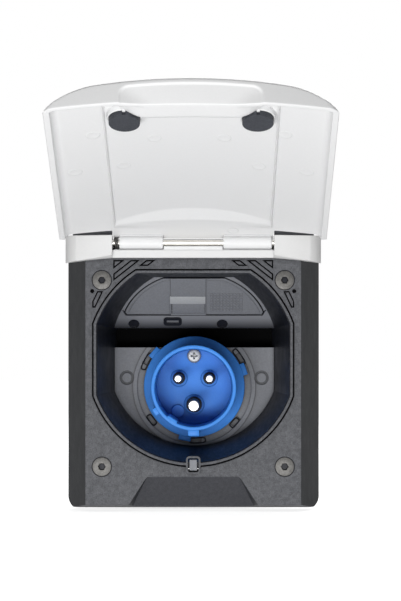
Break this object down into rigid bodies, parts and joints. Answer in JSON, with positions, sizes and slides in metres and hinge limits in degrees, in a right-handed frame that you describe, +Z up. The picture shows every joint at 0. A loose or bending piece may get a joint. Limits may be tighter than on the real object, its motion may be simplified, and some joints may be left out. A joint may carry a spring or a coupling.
{
  "type": "flush power inlet with hinged magnetic lid",
  "caption": "Flush wall power inlet: sloped dark frame, tapered recess tub, round pinned blue inlet and a sprung white lid that magnets hold shut.",
  "frame": {"origin": "centre of the mounting screws on the wall plane", "axes": "+X right as seen from the front, +Y into the wall, +Z up"},
  "size_m": [0.14, 0.2694, 0.2138],
  "materials": {
    "anthracite": "fine grained",
    "black": "satin",
    "white": "satin",
    "grey": "satin",
    "blue": "satin",
    "steel": "dull",
    "nickel": "bright nickel plate",
    "rubber": "matt",
    "brass": "turned"
  },
  "bodies": {
    "housing": {"front_frame": "anthracite", "wall_gasket": "rubber", "mounting_screws": "steel", "rear_tub": "black", "tub_screws": "steel", "keeper_plates": "steel", "plug_catch": "anthracite", "hinge_rail": "white", "rail_screws": "steel", "hinge_pin": "steel", "torsion_spring": "steel", "inlet_carrier": "grey", "carrier_screws": "steel", "service_cover": "grey", "cover_latch": "black", "inlet_shell": "blue", "inlet_gasket": "rubber", "pin_insert": "blue", "line_pin": "nickel", "neutral_pin": "nickel", "earth_pin": "nickel", "insert_screw": "steel", "terminal_clamps": "brass", "terminal_screws": "steel", "gland_body": "black", "gland_locknut": "black", "gland_nut": "black", "gland_seal": "rubber"},
    "lid": {"lid_shell": "white", "left_magnet_cap": "rubber", "right_magnet_cap": "rubber", "lid_magnets": "nickel"}
  },
  "joints": [
    {"name": "lid_hinge", "type": "hinge", "parent": "housing", "child": "lid", "pos_m": [0, -0.024, 0.0712], "axis": [1, 0, 0], "range_deg": [0, 113], "stiffness_Nm_per_rad": 0.045, "springref_deg": -114.59}
  ]
}
